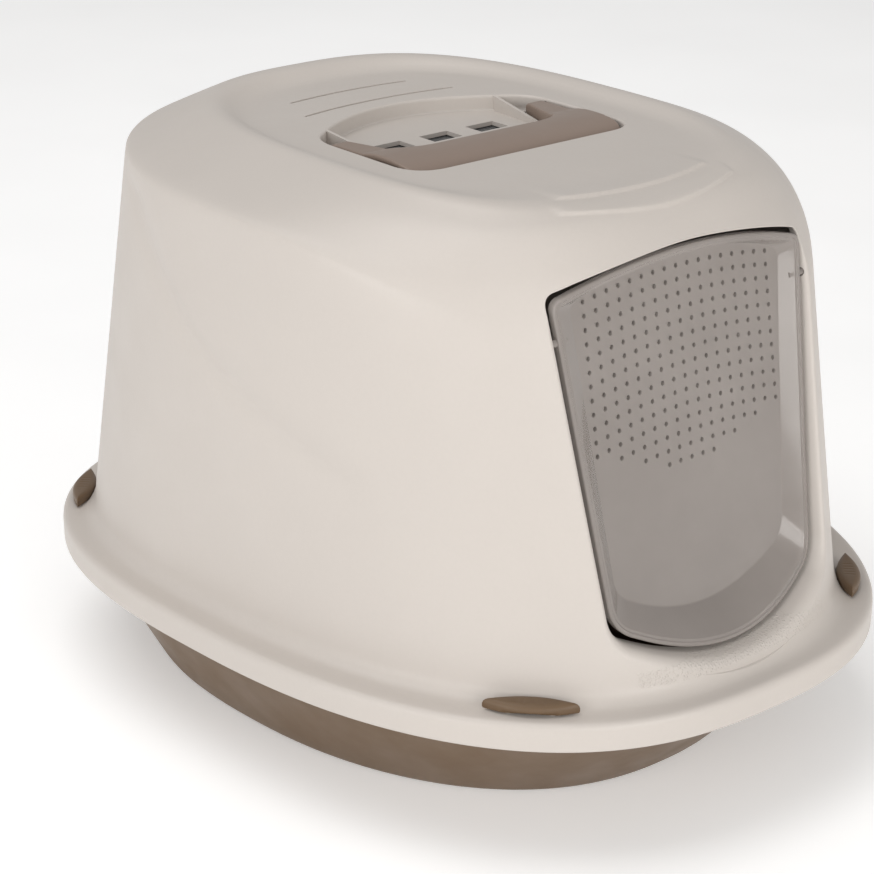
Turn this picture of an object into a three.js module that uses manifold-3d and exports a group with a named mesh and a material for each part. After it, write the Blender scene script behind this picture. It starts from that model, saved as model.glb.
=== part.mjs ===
// Hooded cat litter box: a low tray, a domed hood with a smoked swing door, a folding carry
// handle over a carbon filter, and four clips that hold the hood on the tray.
// Millimetres, +Z up. The origin is on the floor, under the middle of the hood's flange.
// The door faces -Y, and the hood's left side, as seen from the front, is -X.

import * as THREE from 'three';
import { ParametricGeometry } from 'three/addons/geometries/ParametricGeometry.js';
import { mergeVertices } from 'three/addons/utils/BufferGeometryUtils.js';
import Module from 'manifold-3d';

const wasm = await Module();
wasm.setup();

// ---------------------------------------------------------------- driving dimensions

const HALF_LENGTH = 270;        // flange, front to middle
const HALF_WIDTH = 214.5;       // flange, side to middle, before the egg shape widens the back
const FLANGE_POWER = 2.55;      // superellipse power of the flange's outline
const EGG = 0.09;               // how much wider than the middle the back is, and the front narrower
const SIDES = 72;               // facets round the hood and the tray

const SKIRT_BOTTOM = 75.3;
const FLANGE_TOP = 92.6;
const SHELL = 2.8;              // wall thickness of the hood
const FOOT_Z = 105;             // where the fillet over the flange ends and the wall begins

const LIP_INSET = 5.5;          // flange outline to the tray's lip
const LIP_TOP = FLANGE_TOP - SHELL - 0.4;
const LIP_THICKNESS = 3;
const TRAY_WALL_INSET = 10.5;   // flange outline to the top of the tray's wall
const TRAY_LEDGE_INSET = 26;    // flange outline to the inner edge of the tray's rim
const TRAY_SHELL = 2.8;

const PANEL = 355.4;            // height of the top panel, inside its raised rim

const DOOR_TOP = { halfWidth: 96.2, y: -180, z: 314.3 };
const DOOR_FOOT = { halfWidth: 80.3, y: -212.6, z: 129 };
const DOOR_MIDDLE = (DOOR_TOP.z + DOOR_FOOT.z) / 2;
const DOOR_ARCH = 15;           // rise of the door's top edge at the middle
const DOOR_SAG = 23;            // drop of its bottom edge at the middle
const DOOR_BULGE = { top: 10, foot: 17 };  // forward bulge across its width
const DOOR_BORDER = 4.4;        // thickness of its border
const DOOR_PAN = { across: 0.84, up: 0.9, lift: 4, behind: 1.7, thickness: 2.2 };  // its flat middle
const DOOR_GAP = 2.6;           // clearance round the door in its opening
const REVEAL = 3;               // wall of the opening's collar
const REVEAL_BACK = 6;          // how far the collar reaches behind the door
const REVEAL_FRONT = 44;        // how far the flared cut reaches in front of the door
const FLARE = 1.2;              // how much wider the cut is there
const DOOR_AXIS = { y: -183.5, z: 291.5 };
const DOOR_PIN = { radius: 2.3, hole: 2.8, reach: 5 };

const POCKET = { halfWidth: 85.5, front: -57, side: 20, rear: 76, floor: 345.4 };
const POCKET_WALL = 2.6;
const RIB = { rearX: 66.4, rearY: 49, frontX: 62.3, frontY: 4, top: 353.5, thickness: 2.2 };
const VENT = { width: 22, depth: 15.5, pitch: 37, y: 25.8 };
const WELL = { inner: 68.4, outer: 80, front: 2, rear: 38 };

const HANDLE_AXIS = { y: 25, z: 350.6 };
const HANDLE_PIN = { radius: 2.6, hole: 3.1, reach: 4 };
const HANDLE = { halfWidth: 83, front: -55, inner: -17, arm: 20, low: 345.8 };

const RAIL = { x: 89.5, length: 100, middle: 7, thickness: 3, ledge: 6, z: 328.9 };
const FILTER = { halfWidth: 85.6, front: -34, rear: 66, low: 329.5, high: 341.5, wall: 2.4 };
const PAD = { halfWidth: 70.5, front: -28, rear: 60, low: 334.9, high: 341.9 };

const CLIP = { length: 54, width: 14.5, height: 6.2, lift: 0.9, bevel: 1.6 };
const CLIP_RECESS = { gap: 0.6, low: -0.5, high: 16 };  // cut in the hood's fillet round each clip
const CLIP_AT = { front: { turn: -50.6, inset: 14 }, rear: { turn: 47.3, inset: 11 } };
const CLIP_AXIS = { y: -1.6, z: 1.9 };
const CLIP_PIN = { radius: 1.1, hole: 1.35, inner: 10.3 };
const CLIP_HOLLOW = { x: 13.5, out: -4.1, back: 3.4, top: 4.4 };
const CLIP_LEG = { halfWidth: 8, out: 3.2, back: 5.4, low: -9 };

// ---------------------------------------------------------------- shape tools

// A closed three.js geometry becomes a solid that can be joined and cut.
function solid(geometry) {
  const bare = geometry.clone();
  bare.deleteAttribute('normal');
  bare.deleteAttribute('uv');
  const merged = mergeVertices(bare, 1e-4);
  const corners = merged.index.array;
  const kept = [];
  for (let i = 0; i < corners.length; i += 3) {
    const [a, b, c] = [corners[i], corners[i + 1], corners[i + 2]];
    if (a !== b && b !== c && c !== a) kept.push(a, b, c);
  }
  return new wasm.Manifold(new wasm.Mesh({
    numProp: 3,
    vertProperties: new Float32Array(merged.attributes.position.array),
    triVerts: new Uint32Array(kept),
  }));
}

function geometryOf(shape) {
  const mesh = shape.getMesh();
  const geometry = new THREE.BufferGeometry();
  geometry.setAttribute('position', new THREE.BufferAttribute(mesh.vertProperties, 3));
  geometry.setIndex(new THREE.BufferAttribute(mesh.triVerts, 1));
  geometry.computeVertexNormals();
  return geometry;
}

// A solid through rings of points, listed from the bottom up and counter-clockwise from above.
function loft(rings) {
  const sides = rings[0].length;
  const stacks = rings.length + 1;
  const middle = (ring) => ring.reduce((sum, p) => sum.add(p), new THREE.Vector3()).divideScalar(sides);
  const ends = [middle(rings[0]), middle(rings[rings.length - 1])];
  return solid(new ParametricGeometry((u, v, target) => {
    const row = Math.round(v * stacks);
    const place = Math.round(u * sides) % sides;
    if (row === 0) target.copy(ends[0]);
    else if (row === stacks) target.copy(ends[1]);
    else target.copy(rings[row - 1][place]);
  }, sides, stacks));
}

// The two ends of a span on one side of the middle, the smaller first.
function span(side, near, far) {
  return [side * near, side * far].sort((a, b) => a - b);
}

function box(x0, x1, y0, y1, z0, z1) {
  const geometry = new THREE.BoxGeometry(x1 - x0, y1 - y0, z1 - z0);
  geometry.translate((x0 + x1) / 2, (y0 + y1) / 2, (z0 + z1) / 2);
  return solid(geometry);
}

// An outline in X and Y, raised from z0 to z1.
function upright(shape, z0, z1, curveSegments = 8) {
  const geometry = new THREE.ExtrudeGeometry(shape, { depth: z1 - z0, bevelEnabled: false, curveSegments });
  geometry.translate(0, 0, z0);
  return solid(geometry);
}

// A cylinder along X.
function rod(x0, x1, y, z, radius, facets = 16) {
  const geometry = new THREE.CylinderGeometry(radius, radius, x1 - x0, facets);
  geometry.rotateZ(Math.PI / 2);
  geometry.translate((x0 + x1) / 2, y, z);
  return solid(geometry);
}

function join(first, ...others) {
  return others.reduce((sum, next) => sum.add(next), first);
}

function cut(first, ...others) {
  return others.reduce((sum, next) => sum.subtract(next), first);
}

// ---------------------------------------------------------------- the egg-shaped plan

// A point on an egg-shaped superellipse. w is its half-width, f and r its front and rear Y, n its
// power, bow how far the middle of its front is drawn back, and dip how far its front corners hang
// down. z is one height, or its heights at the side, the rear and the front.
function eggPoint({ w, f, r, n, bow = 0, dip = 0, egg = EGG, z = 0 }, turn) {
  const c = Math.cos(turn);
  const s = Math.sin(turn);
  const across = Math.sign(c) * Math.abs(c) ** (2 / n);
  const along = Math.sign(s) * Math.abs(s) ** (2 / n);
  const [side, rear, front] = Array.isArray(z) ? z : [z, z, z];
  const drawn = s < 0 ? bow * (1 - across * across) * Math.abs(along) : 0;
  const x = w * across * (1 + egg * along);
  const y = (f + r) / 2 + ((r - f) / 2) * along + drawn;
  const hang = s < 0 ? dip * (2 * c * s) ** 2 : 0;
  const height = side * c * c + (s > 0 ? rear : front) * s * s - hang;
  return new THREE.Vector3(x, y, height);
}

function eggRing(spec) {
  return Array.from({ length: SIDES }, (_, i) => eggPoint(spec, (2 * Math.PI * (i + 0.5)) / SIDES));
}

function inset(spec, distance) {
  return { ...spec, w: spec.w - distance, f: spec.f + distance, r: spec.r - distance };
}

const flange = { w: HALF_WIDTH, f: -HALF_LENGTH, r: HALF_LENGTH, n: FLANGE_POWER };
const trayFloor = { w: 161, f: -182, r: 221, n: 2.3 };

function flangeRing(distance, z) {
  return eggRing({ ...inset(flange, distance), z });
}

// The hood's own sections, from the foot of the wall to the top panel. Over the shoulder a bevel
// rises to the crest of a rim. Inside the rim the top panel lies lower, level with its front.
const foot = { w: 191.5, f: -251, r: 251, n: 2.55, egg: 0.12, z: FOOT_Z };
const shoulder = { w: 183, f: -215, r: 213, n: 2.35, egg: 0.05, dip: 7.5, z: [336, 343, 284] };
const shoulderTop = { w: 180, f: -205, r: 210, n: 2.42, egg: 0.05, dip: 7.5, z: [339.6, 346, 308] };
const bevelFoot = { w: 174, f: -197, r: 205, n: 2.5, egg: 0.05, dip: 7.5, z: [342.5, 348.5, 325] };
const brow = { w: 150, f: -190, r: 191, n: 2.62, egg: 0.025, bow: 18, dip: 5, z: [351.2, 355.8, 348] };
const bevelTop = { w: 127, f: -183, r: 178, n: 2.75, egg: 0, bow: 26, dip: 4, z: [359.4, 362.4, 352.8] };
const crest = { w: 122, f: -179, r: 172, n: 2.75, egg: 0, bow: 28, dip: 2, z: [361, 364, 353.6] };
const rimInner = { w: 116.5, f: -172, r: 165, n: 2.75, egg: 0, bow: 32, z: [360.4, 363.2, 354.2] };
const panelEdge = { w: 107, f: -150, r: 153, n: 2.7, egg: 0, bow: 40, z: PANEL };
const panel = { w: 60, f: -70, r: 80, n: 2.4, egg: 0, z: PANEL };

const wallSections = [
  foot, shoulder, shoulderTop, bevelFoot, brow, bevelTop, crest, rimInner, panelEdge, panel,
];

function lowered(spec, depth) {
  const z = Array.isArray(spec.z) ? spec.z.map((level) => level - depth) : spec.z - depth;
  return { ...spec, z };
}

// ---------------------------------------------------------------- the door's curved sheet

// The Y of the leaning plane through the door's side edges.
function doorPlane(z) {
  const rise = (z - DOOR_FOOT.z) / (DOOR_TOP.z - DOOR_FOOT.z);
  return DOOR_FOOT.y + (DOOR_TOP.y - DOOR_FOOT.y) * rise;
}

// The Y of the door border's middle surface, which bulges forward, at x and z.
function doorY(x, z) {
  const rise = (z - DOOR_FOOT.z) / (DOOR_TOP.z - DOOR_FOOT.z);
  const bulge = DOOR_BULGE.foot + (DOOR_BULGE.top - DOOR_BULGE.foot) * rise;
  return doorPlane(z) - bulge * (1 - (x / DOOR_TOP.halfWidth) ** 2);
}

// The door's outline in X and Z, grown by a distance all round.
function doorOutline(grow) {
  const top = DOOR_TOP.halfWidth + grow;
  const low = DOOR_FOOT.halfWidth + grow;
  const topZ = DOOR_TOP.z + grow;
  const lowZ = DOOR_FOOT.z - grow;
  const topCorner = 7;
  const lowCorner = 14;
  const slope = (top - low) / (topZ - lowZ);
  const shape = new THREE.Shape();
  shape.moveTo(low + slope * lowCorner, lowZ + lowCorner);
  shape.lineTo(top - slope * topCorner, topZ - topCorner);
  shape.quadraticCurveTo(top, topZ, top - topCorner, topZ + 1.6);
  shape.quadraticCurveTo(0, topZ + 2 * DOOR_ARCH - 1.6, topCorner - top, topZ + 1.6);
  shape.quadraticCurveTo(-top, topZ, slope * topCorner - top, topZ - topCorner);
  shape.lineTo(-low - slope * lowCorner, lowZ + lowCorner);
  shape.quadraticCurveTo(-low, lowZ - 1, lowCorner - low, lowZ - 6.5);
  shape.quadraticCurveTo(0, lowZ - 2 * DOOR_SAG + 6.5, low - lowCorner, lowZ - 6.5);
  shape.quadraticCurveTo(low, lowZ - 1, low + slope * lowCorner, lowZ + lowCorner);
  return shape.getPoints(6).slice(0, -1);
}

// A ring round the door, behind (+) or in front (-) of its middle surface. shrink draws the ring
// in towards the door's middle, and widen spreads it sideways.
function doorRing({ grow = 0, behind = 0, shrink = 1, widen = 1 }) {
  return doorOutline(grow).map((p) => {
    const x = p.x * shrink;
    const z = DOOR_MIDDLE + (p.y - DOOR_MIDDLE) * shrink;
    return new THREE.Vector3(x * widen, doorY(x, z) + behind, z);
  });
}

// A ring in the door's flat middle: its edge at scale 1.
function panRing(scale, behind) {
  return doorOutline(0).map((p) => {
    const z = DOOR_MIDDLE + DOOR_PAN.lift + (p.y - DOOR_MIDDLE) * DOOR_PAN.up * scale;
    return new THREE.Vector3(p.x * DOOR_PAN.across * scale, doorPlane(z) + behind, z);
  });
}

// ---------------------------------------------------------------- clips' places

const CLIP_NAMES = ['front_left', 'front_right', 'rear_left', 'rear_right'];

// A clip's own frame: X along the flange, +Y inward, +Z up from the underside of its cap.
function clipFrame(name) {
  const { turn, inset: distance } = CLIP_AT[name.split('_')[0]];
  const angle = THREE.MathUtils.degToRad(turn);
  const spec = inset(flange, distance);
  const here = eggPoint(spec, angle);
  const ahead = eggPoint(spec, angle + 0.01);
  const heading = Math.atan2(ahead.y - here.y, ahead.x - here.x);
  const side = name.endsWith('left') ? -1 : 1;
  const frame = new THREE.Matrix4().makeRotationZ(side * heading);
  return frame.setPosition(side * here.x, here.y, FLANGE_TOP + CLIP.lift);
}

// A solid drawn in a clip's own frame, put in its place.
function atClip(name, shape) {
  return shape.transform(clipFrame(name).elements);
}

function clipSlot(name, back, low, high) {
  const { halfWidth, out } = CLIP_LEG;
  return atClip(name, box(-halfWidth - 0.5, halfWidth + 0.5, out - 0.5, back, low, high));
}

// The lens-shaped outline of a clip's cap, grown by a distance.
function lensShape(grow) {
  const half = CLIP.length / 2 + grow;
  const bulge = CLIP.width + 2 * grow;
  const lens = new THREE.Shape();
  lens.moveTo(-half, 0);
  lens.quadraticCurveTo(0, -bulge, half, 0);
  lens.quadraticCurveTo(0, bulge, -half, 0);
  return lens;
}

function clipRecess(name) {
  const { gap, low, high } = CLIP_RECESS;
  return atClip(name, upright(lensShape(gap), low, high, 10));
}

// The two eyes on the flange that hold a clip's pins.
function clipEyes(name) {
  const radius = 2.1;
  const eyes = [-1, 1].map((side) => {
    const [x0, x1] = span(side, CLIP_PIN.inner + 0.5, CLIP_HOLLOW.x - 0.4);
    const { y, z } = CLIP_AXIS;
    const post = box(x0, x1, y - 1.2, y + radius, -CLIP.lift - 1.5, z);
    return cut(join(post, rod(x0, x1, y, z, radius, 12)), rod(x0 - 1, x1 + 1, y, z, CLIP_PIN.hole, 12));
  });
  return atClip(name, join(...eyes));
}

// ---------------------------------------------------------------- the hood

function hoodOuter() {
  const skin = [
    flangeRing(0, SKIRT_BOTTOM),
    flangeRing(0, FLANGE_TOP - 3),
    flangeRing(0.9, FLANGE_TOP - 0.9),
    flangeRing(3, FLANGE_TOP),
    eggRing({ ...inset(foot, -7), z: FLANGE_TOP + 0.6 }),
    eggRing({ ...inset(foot, -2.6), z: FLANGE_TOP + 3.4 }),
  ];
  return loft([...skin, ...wallSections.map(eggRing)]);
}

function hoodHollow() {
  const under = [
    flangeRing(SHELL, SKIRT_BOTTOM - 10),
    flangeRing(SHELL, FLANGE_TOP - SHELL),
    eggRing({ ...inset(foot, SHELL + 1), z: FLANGE_TOP - SHELL }),
  ];
  return loft([...under, ...wallSections.map((spec) => eggRing(lowered(inset(spec, SHELL), SHELL)))]);
}

function pocketShape(grow) {
  const { halfWidth, front, side, rear } = POCKET;
  const corner = 22;
  const shoulderY = side + 28;
  const edge = halfWidth + grow;
  const shape = new THREE.Shape();
  shape.moveTo(-edge, side);
  shape.lineTo(-edge, front + corner);
  shape.quadraticCurveTo(-edge, front - grow, corner - halfWidth, front - grow);
  shape.lineTo(halfWidth - corner, front - grow);
  shape.quadraticCurveTo(edge, front - grow, edge, front + corner);
  shape.lineTo(edge, side);
  shape.quadraticCurveTo(edge, side + 20, halfWidth - 13, shoulderY + grow);
  shape.quadraticCurveTo(0, 2 * rear - shoulderY + grow, 13 - halfWidth, shoulderY + grow);
  shape.quadraticCurveTo(-edge, side + 20, -edge, side);
  return shape;
}

function rib(side) {
  const { rearX, rearY, frontX, frontY, thickness, top } = RIB;
  const shape = new THREE.Shape();
  shape.moveTo(side * (frontX - thickness / 2), frontY);
  shape.lineTo(side * (frontX + thickness / 2), frontY);
  shape.lineTo(side * (rearX + thickness / 2), rearY);
  shape.lineTo(side * (rearX - thickness / 2), rearY);
  return upright(shape, POCKET.floor - 1, top);
}

function vent(place) {
  const x = place * VENT.pitch;
  const [y0, y1] = [VENT.y - VENT.depth / 2, VENT.y + VENT.depth / 2];
  return box(x - VENT.width / 2, x + VENT.width / 2, y0, y1, POCKET.floor - 6, POCKET.floor + 3);
}

// The opening beside each rib, under the handle's arm.
function well(side) {
  const [x0, x1] = span(side, WELL.inner, WELL.outer);
  return box(x0, x1, WELL.front, WELL.rear, POCKET.floor - 6, POCKET.floor + 3);
}

// The channel under the pocket that the filter holder slides in.
function rail(side) {
  const { x, length, middle, thickness, ledge, z } = RAIL;
  const [y0, y1] = [middle - length / 2, middle + length / 2];
  const [inner, edge, outer] = [x - thickness - ledge, x - thickness, x].map((value) => side * value);
  const web = box(Math.min(edge, outer), Math.max(edge, outer), y0, y1, z - thickness, POCKET.floor - 1);
  const shelf = box(Math.min(inner, outer), Math.max(inner, outer), y0, y1, z - thickness, z);
  return join(web, shelf);
}

function makeHood() {
  const outer = hoodOuter();
  const collar = loft([
    doorRing({ grow: DOOR_GAP + REVEAL, behind: REVEAL_BACK }),
    doorRing({ grow: DOOR_GAP + REVEAL }),
    doorRing({ grow: DOOR_GAP + REVEAL, behind: -REVEAL_FRONT, widen: FLARE }),
  ]);
  const opening = loft([
    doorRing({ grow: DOOR_GAP, behind: REVEAL_BACK + 40 }),
    doorRing({ grow: DOOR_GAP }),
    doorRing({ grow: DOOR_GAP, behind: -REVEAL_FRONT - 20, widen: FLARE + 0.09 }),
  ]);
  const pocket = upright(pocketShape(POCKET_WALL), POCKET.floor - POCKET_WALL, PANEL + 3);
  const shell = join(cut(outer, hoodHollow()), collar.intersect(outer), pocket.intersect(outer));
  const cuts = [opening, upright(pocketShape(0), POCKET.floor, PANEL + 20)];
  const ribs = [rib(-1), rib(1), rail(-1), rail(1)];
  const eyes = CLIP_NAMES.map(clipEyes);
  const holes = [-1, 0, 1].map(vent);
  for (const side of [-1, 1]) {
    const doorPinEnd = DOOR_TOP.halfWidth + DOOR_PIN.reach + 0.6;
    const handlePinEnd = HANDLE.halfWidth + HANDLE_PIN.reach + 0.6;
    holes.push(
      well(side),
      rod(...span(side, 80, doorPinEnd), DOOR_AXIS.y, DOOR_AXIS.z, DOOR_PIN.hole),
      rod(...span(side, HANDLE.halfWidth - 2, handlePinEnd), HANDLE_AXIS.y, HANDLE_AXIS.z, HANDLE_PIN.hole),
    );
  }
  const slotBack = CLIP_LEG.back + 2.2;
  for (const name of CLIP_NAMES) {
    holes.push(clipSlot(name, slotBack, -CLIP.lift - SHELL - 1, 6));
  }
  const body = join(cut(shell, ...cuts), ...ribs);
  return cut(join(cut(body, ...CLIP_NAMES.map(clipRecess)), ...eyes), ...holes);
}

// ---------------------------------------------------------------- the tray

function makeTray() {
  const outside = loft([
    eggRing({ ...inset(trayFloor, 5), z: 0 }),
    eggRing({ ...inset(trayFloor, 1.2), z: 1.8 }),
    eggRing({ ...inset(trayFloor, -1.5), z: 6 }),
    flangeRing(TRAY_WALL_INSET, LIP_TOP - LIP_THICKNESS),
    flangeRing(LIP_INSET, LIP_TOP - LIP_THICKNESS),
    flangeRing(LIP_INSET, LIP_TOP),
  ]);
  const hollow = loft([
    eggRing({ ...inset(trayFloor, TRAY_SHELL + 4), z: TRAY_SHELL }),
    eggRing({ ...inset(trayFloor, TRAY_SHELL - 1.5), z: TRAY_SHELL + 4 }),
    flangeRing(TRAY_WALL_INSET + TRAY_SHELL, LIP_TOP - LIP_THICKNESS),
    flangeRing(TRAY_LEDGE_INSET, LIP_TOP - LIP_THICKNESS),
    flangeRing(TRAY_LEDGE_INSET, LIP_TOP + 1),
  ]);
  const slots = CLIP_NAMES.map((name) => clipSlot(name, CLIP_LEG.back + 3.2, -9, 0));
  return cut(outside, hollow, ...slots);
}

// ---------------------------------------------------------------- the swing door

function makeDoor() {
  const half = DOOR_BORDER / 2;
  const front = DOOR_PAN.behind;
  const back = front + DOOR_PAN.thickness;
  const plate = loft([
    panRing(0.4, back),
    panRing(0.8, back),
    panRing(1.02, back),
    doorRing({ shrink: 0.988, behind: half }),
    doorRing({ behind: half }),
    doorRing({ behind: -half }),
    doorRing({ shrink: 0.965, behind: -half }),
    panRing(1, front),
    panRing(0.8, front),
    panRing(0.4, front),
  ]);
  const pins = [-1, 1].map((side) => {
    const ends = span(side, DOOR_TOP.halfWidth - 10, DOOR_TOP.halfWidth + DOOR_PIN.reach);
    return rod(...ends, DOOR_AXIS.y, DOOR_AXIS.z, DOOR_PIN.radius);
  });
  return join(plate, ...pins);
}

// ---------------------------------------------------------------- the carry handle

function makeHandle() {
  const { halfWidth, front, inner, arm, low } = HANDLE;
  const { y, z } = HANDLE_AXIS;
  const corner = 18;
  const shape = new THREE.Shape();
  shape.moveTo(-halfWidth, y + 5);
  shape.lineTo(-halfWidth, front + corner);
  shape.quadraticCurveTo(-halfWidth, front, corner - halfWidth, front);
  shape.lineTo(halfWidth - corner, front);
  shape.quadraticCurveTo(halfWidth, front, halfWidth, front + corner);
  shape.lineTo(halfWidth, y + 5);
  shape.lineTo(halfWidth - 11, y + 5);
  shape.lineTo(halfWidth - arm, inner + 14);
  shape.quadraticCurveTo(halfWidth - arm - 3, inner, halfWidth - arm - 24, inner);
  shape.lineTo(arm + 24 - halfWidth, inner);
  shape.quadraticCurveTo(arm + 3 - halfWidth, inner, arm - halfWidth, inner + 14);
  shape.lineTo(11 - halfWidth, y + 5);
  const plate = upright(shape, low, low + 16, 6);
  const profile = new THREE.Shape();
  profile.moveTo(front - 1, low - 1);
  profile.quadraticCurveTo(front + 1.5, low + 9.7, inner - 11, low + 11.4);
  profile.quadraticCurveTo(inner + 5, low + 12.2, inner + 15, low + 8.8);
  profile.lineTo(y + 1, low + 8.8);
  profile.lineTo(y + 4.3, z + 2);
  profile.lineTo(y + 4.3, z - 2);
  profile.lineTo(y + 1, low + 0.2);
  profile.lineTo(inner + 24, low + 0.2);
  profile.quadraticCurveTo(inner + 8, low + 8, inner - 12, low + 7.4);
  profile.quadraticCurveTo(front + 7, low + 7, front + 5, low - 1);
  const across = 2 * halfWidth + 4;
  const roll = new THREE.ExtrudeGeometry(profile, { depth: across, bevelEnabled: false, curveSegments: 5 });
  roll.applyMatrix4(new THREE.Matrix4().makeBasis(
    new THREE.Vector3(0, 1, 0), new THREE.Vector3(0, 0, 1), new THREE.Vector3(1, 0, 0)));
  roll.translate(-halfWidth - 2, 0, 0);
  const pins = [-1, 1].map((side) => {
    const ends = span(side, halfWidth - 6, halfWidth + HANDLE_PIN.reach);
    return rod(...ends, y, z, HANDLE_PIN.radius);
  });
  return join(plate.intersect(solid(roll)), ...pins);
}

// ---------------------------------------------------------------- the filter and its holder

function makeFilterHolder() {
  const { halfWidth, front, rear, low, high, wall } = FILTER;
  const gap = 0.5;
  const edge = PAD.halfWidth + gap;
  const holder = box(-halfWidth, halfWidth, front, rear, low, high);
  const seat = box(-edge, edge, PAD.front - gap, PAD.rear + gap, PAD.low - 0.4, high + 1);
  const slots = [-1.5, -0.5, 0.5, 1.5].map((place) => {
    const x = place * 34;
    return box(x - 13, x + 13, PAD.front + 8, PAD.rear - 8, low - 1, PAD.low);
  });
  const wings = [-1, 1].map((side) => {
    const [x0, x1] = span(side, edge + wall, halfWidth - wall);
    return box(x0, x1, front + wall, rear - wall, low - 1, high - wall);
  });
  return cut(holder, seat, ...slots, ...wings);
}

function makeFilterPad() {
  return box(-PAD.halfWidth, PAD.halfWidth, PAD.front, PAD.rear, PAD.low, PAD.high);
}

// ---------------------------------------------------------------- a clip

function makeClip(name) {
  const { height, bevel } = CLIP;
  const half = CLIP.length / 2;
  const geometry = new THREE.ExtrudeGeometry(lensShape(-bevel), {
    depth: height - bevel, bevelThickness: bevel, bevelSize: bevel, bevelSegments: 2, curveSegments: 10,
  });
  const cap = solid(geometry).intersect(upright(lensShape(0), 0, height, 10));
  const { x, out, back, top } = CLIP_HOLLOW;
  const hollow = box(-x, x, out, back, -1, top);
  const relief = box(-half, half, -10, -4.6, -1, 1.5);
  const { halfWidth, low } = CLIP_LEG;
  const leg = box(-halfWidth, halfWidth, CLIP_LEG.out, CLIP_LEG.back, low, top + 0.5);
  const pins = [-1, 1].map((side) => {
    const ends = span(side, CLIP_PIN.inner, x + 1);
    return rod(...ends, CLIP_AXIS.y, CLIP_AXIS.z, CLIP_PIN.radius, 10);
  });
  return atClip(name, join(cut(cap, hollow, relief), leg, ...pins));
}

// ---------------------------------------------------------------- materials and assembly

const finishes = {
  cream: { color: 0xddd5cb, roughness: 0.45, metalness: 0 },
  taupe: { color: 0x7a6654, roughness: 0.55, metalness: 0 },
  greige: { color: 0x95857a, roughness: 0.42, metalness: 0 },
  smoke: { color: 0x9c938c, roughness: 0.12, metalness: 0, transparent: true, opacity: 0.45 },
  carbon: { color: 0x2b2a29, roughness: 0.95, metalness: 0 },
};

const litterBox = new THREE.Group();

function add(name, shape, finish) {
  const mesh = new THREE.Mesh(geometryOf(shape), new THREE.MeshStandardMaterial(finish));
  mesh.name = name;
  litterBox.add(mesh);
}

add('tray', makeTray(), finishes.taupe);
add('hood', makeHood(), finishes.cream);
add('door_flap', makeDoor(), finishes.smoke);
add('carry_handle', makeHandle(), finishes.greige);
add('filter_holder', makeFilterHolder(), finishes.taupe);
add('filter_pad', makeFilterPad(), finishes.carbon);
for (const name of CLIP_NAMES) add(`clip_${name}`, makeClip(name), finishes.taupe);

export default litterBox;
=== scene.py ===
# Looks for the hooded cat litter box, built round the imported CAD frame.
# Shapes are drawn in millimetres in the frame's axes and become metres when a mesh is made.

import math

import bpy
import numpy as np
from mathutils import Matrix, Vector
from mathutils.bvhtree import BVHTree


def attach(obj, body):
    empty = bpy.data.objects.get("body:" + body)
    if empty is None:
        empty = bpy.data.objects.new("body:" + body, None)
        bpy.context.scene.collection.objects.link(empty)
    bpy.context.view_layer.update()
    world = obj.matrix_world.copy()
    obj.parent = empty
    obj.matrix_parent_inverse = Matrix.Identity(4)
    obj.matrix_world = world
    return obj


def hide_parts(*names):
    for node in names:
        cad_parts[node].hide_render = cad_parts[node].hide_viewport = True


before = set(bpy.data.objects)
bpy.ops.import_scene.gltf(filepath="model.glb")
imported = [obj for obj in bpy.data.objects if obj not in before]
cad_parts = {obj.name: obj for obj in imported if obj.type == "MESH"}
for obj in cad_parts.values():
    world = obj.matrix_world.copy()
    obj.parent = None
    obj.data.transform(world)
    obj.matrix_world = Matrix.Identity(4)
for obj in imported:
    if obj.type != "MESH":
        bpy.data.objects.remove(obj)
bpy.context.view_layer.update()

MM = 0.001

# ---------------------------------------------------------------- driving dimensions, as in the CAD

FLANGE = dict(w=214.5, f=-270, r=270, n=2.55)
TRAY_FLOOR = dict(w=161, f=-182, r=221, n=2.3)
EGG = 0.09
SKIRT_BOTTOM = 75.3
FLANGE_TOP = 92.6
SHELL = 2.8
LIP_TOP = FLANGE_TOP - SHELL - 0.4
LIP_THICKNESS = 3
PANEL = 355.4

DOOR_TOP = dict(half=96.2, y=-180, z=314.3)
DOOR_FOOT = dict(half=80.3, y=-212.6, z=129)
DOOR_MIDDLE = (DOOR_TOP["z"] + DOOR_FOOT["z"]) / 2
DOOR_ARCH = 15
DOOR_SAG = 23
DOOR_BULGE_TOP, DOOR_BULGE_FOOT = 10, 17
DOOR_BORDER = 4.4
PAN_ACROSS, PAN_UP, PAN_LIFT, PAN_BEHIND, PAN_THICKNESS = 0.84, 0.9, 4, 1.7, 2.2
DOOR_GAP = 2.6
REVEAL = 3
REVEAL_BACK = 6
FLARE = 0.2 / 44
DOOR_AXIS = (-183.5, 291.5)

POCKET = dict(half=85.5, front=-57, side=20, rear=76, floor=345.4)
POCKET_WALL = 2.6
RIB = dict(rear=(66.8, 54, 355.2), front=(62.3, 4, 347.6), half=1.1)
RAIL = dict(x=89.5, y=(-43, 57), z=328.9, thickness=3, ledge=6)
VENT = dict(places=(-37, 0, 37), half=11, y=(18, 33.5))
WELL = dict(x=(68.4, 80), y=(2, 38))
FILTER = dict(half=85.6, y=(-34, 66), z=(329.5, 341.5), wall=2.4, seat_half=71, seat_y=(-28.5, 60.5))
HANDLE_AXIS = (25, 350.6)
HANDLE = dict(half=83, front=-55, inner=-17, arm=20, low=345.8)

CLIP_LENGTH, CLIP_WIDTH = 54, 14.5
CLIP_LIFT = 0.9
CLIP_PIN_AXIS = (-1.6, 1.9)
CLIP_SLOT_HALF = 8.5
CLIP_AT = {"front": (-50.6, 14), "rear": (47.3, 11)}
CLIP_NAMES = ("front_left", "front_right", "rear_left", "rear_right")

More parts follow.
